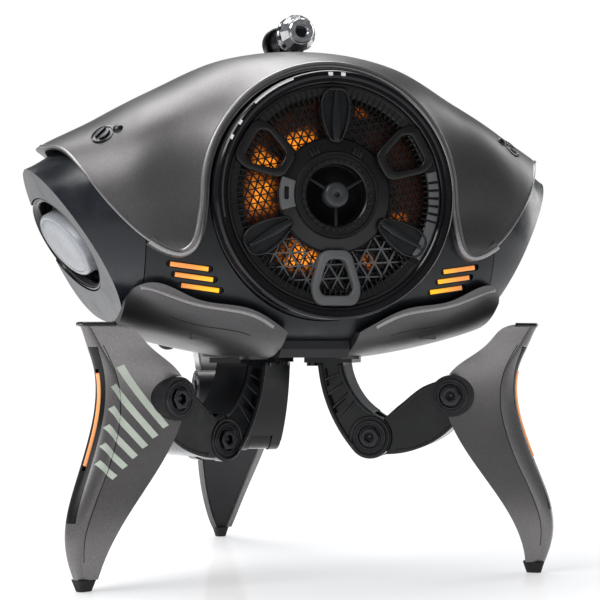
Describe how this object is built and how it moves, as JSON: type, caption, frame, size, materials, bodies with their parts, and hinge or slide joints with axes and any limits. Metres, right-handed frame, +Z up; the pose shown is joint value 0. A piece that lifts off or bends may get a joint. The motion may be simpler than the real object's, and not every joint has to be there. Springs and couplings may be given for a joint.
{
  "type": "robot-shaped desktop speaker",
  "caption": "Egg-bodied robot-style speaker on clawed tripod legs with jointed links, round lit grille, side radiators, glowing slits and a rotary knob on top.",
  "frame": {"origin": "centre of the bounding box's footprint, on the floor plane the three soles stand on", "axes": "+Z up, the grille faces -Y, +X points to the viewer's right when facing the grille"},
  "size_m": [0.196, 0.1718, 0.2023],
  "materials": {
    "shell_metal": "fine metallic gunmetal paint over a zinc casting, satin",
    "housing_plastic": "satin blue-black plastic",
    "bezel_plastic": "gloss black",
    "guard_plastic": "moulded satin black",
    "mesh_metal": "punched sheet, black",
    "amber_lens": "translucent amber light guide",
    "knob_metal": "polished metal collar",
    "barrel_metal": "black anodised",
    "arm_metal": "black satin powder coat over a casting",
    "bolt_steel": "black oxide",
    "inner_plastic": "textured black plastic",
    "black_rubber": "matt",
    "plate_metal": "satin silver dish",
    "cone_fibre": "pressed fibre",
    "magnet_ferrite": "ferrite and steel yoke",
    "coil_copper": "wound copper",
    "basket_steel": "pressed steel, black",
    "cell_pack": "shrink-wrapped cells",
    "board": "glass-fibre board",
    "socket_steel": "stamped shell",
    "button_plastic": "moulded"
  },
  "bodies": {
    "body": {"aux_socket": "inner_plastic", "barrel": "barrel_metal", "base_plate": "inner_plastic", "battery_pack": "cell_pack", "bezel_ring": "bezel_plastic", "charge_socket": "socket_steel", "core_housing": "housing_plastic", "driver_basket": "basket_steel", "driver_magnet": "magnet_ferrite", "driver_surround": "black_rubber", "fan_guard": "guard_plastic", "glow_ring": "amber_lens", "grille_mesh": "mesh_metal", "hip_screws": "bolt_steel", "hub_bowl": "guard_plastic", "hub_cap": "guard_plastic", "knee_bolts": "bolt_steel", "left_pod": "housing_plastic", "left_skirt": "shell_metal", "left_upper_arm": "arm_metal", "main_board": "board", "radiator_frames": "housing_plastic", "radiator_surrounds": "black_rubber", "rear_panel": "inner_plastic", "rear_upper_arm": "arm_metal", "right_pod": "housing_plastic", "right_skirt": "shell_metal", "right_upper_arm": "arm_metal", "shoulder_screws": "bolt_steel", "slit_lights": "amber_lens", "top_shell": "shell_metal", "underside_bumpers": "black_rubber"},
    "knob": {"volume_knob": "knob_metal"},
    "cone": {"driver_cone": "cone_fibre", "voice_coil": "coil_copper"},
    "radiator_right": {"right_radiator": "plate_metal"},
    "radiator_left": {"left_radiator": "plate_metal"},
    "power_key": {"power_button": "button_plastic"},
    "pairing_key": {"pairing_button": "button_plastic"},
    "link_right": {"right_link": "arm_metal"},
    "claw_right": {"right_claw_shell": "shell_metal", "right_claw_frame": "inner_plastic", "right_claw_spine": "guard_plastic", "right_light_strip": "amber_lens", "right_foot_pad": "black_rubber", "right_ankle_bolt": "bolt_steel"},
    "link_left": {"left_link": "arm_metal"},
    "claw_left": {"left_claw_shell": "shell_metal", "left_claw_frame": "inner_plastic", "left_claw_spine": "guard_plastic", "left_light_strip": "amber_lens", "left_foot_pad": "black_rubber", "left_ankle_bolt": "bolt_steel"},
    "link_rear": {"rear_link": "arm_metal"},
    "claw_rear": {"rear_claw_shell": "shell_metal", "rear_claw_frame": "inner_plastic", "rear_claw_spine": "guard_plastic", "rear_light_strip": "amber_lens", "rear_foot_pad": "black_rubber", "rear_ankle_bolt": "bolt_steel"}
  },
  "joints": [
    {"name": "knee_right", "type": "hinge", "parent": "body", "child": "link_right", "pos_m": [0.03074, -0.03335, 0.0484], "axis": [-0.5, -0.866, 0], "range_deg": [-12, 3]},
    {"name": "ankle_right", "type": "hinge", "parent": "link_right", "child": "claw_right", "pos_m": [0.05785, -0.049, 0.0639], "axis": [-0.5, -0.866, 0], "range_deg": [-15, 5]},
    {"name": "knee_left", "type": "hinge", "parent": "body", "child": "link_left", "pos_m": [-0.03074, -0.03335, 0.0484], "axis": [-0.5, 0.866, 0], "range_deg": [-12, 3]},
    {"name": "ankle_left", "type": "hinge", "parent": "link_left", "child": "claw_left", "pos_m": [-0.05785, -0.049, 0.0639], "axis": [-0.5, 0.866, 0], "range_deg": [-15, 5]},
    {"name": "knee_rear", "type": "hinge", "parent": "body", "child": "link_rear", "pos_m": [0, 0.0199, 0.0484], "axis": [1, 0, 0], "range_deg": [-12, 3]},
    {"name": "ankle_rear", "type": "hinge", "parent": "link_rear", "child": "claw_rear", "pos_m": [0, 0.0512, 0.0639], "axis": [1, 0, 0], "range_deg": [-15, 5]},
    {"name": "knob_turn", "type": "hinge", "parent": "body", "child": "knob", "pos_m": [0, -0.038, 0.1954], "axis": [0, -1, 0], "continuous": true},
    {"name": "cone_travel", "type": "slide", "parent": "body", "child": "cone", "axis": [0, -1, 0], "range_m": [-0.0012, 0.0012], "stiffness_N_per_m": 1500},
    {"name": "radiator_travel_right", "type": "slide", "parent": "body", "child": "radiator_right", "axis": [0.8657, -0.1001, -0.4904], "range_m": [-0.0019, 0.0019], "stiffness_N_per_m": 1500},
    {"name": "radiator_travel_left", "type": "slide", "parent": "body", "child": "radiator_left", "axis": [-0.8657, -0.1001, -0.4904], "range_m": [-0.0019, 0.0019], "stiffness_N_per_m": 1500},
    {"name": "power_press", "type": "slide", "parent": "body", "child": "power_key", "axis": [0, -0.9157, 0.4019], "range_m": [0, 0.0006], "stiffness_N_per_m": 800, "springref_m": -0.001},
    {"name": "pairing_press", "type": "slide", "parent": "body", "child": "pairing_key", "axis": [0, -0.9157, 0.4019], "range_m": [0, 0.0006], "stiffness_N_per_m": 800, "springref_m": -0.001}
  ],
  "couplings": [
    {"joint": "radiator_travel_right", "follows": "cone_travel", "ratio": -1.5},
    {"joint": "radiator_travel_left", "follows": "cone_travel", "ratio": -1.5}
  ]
}
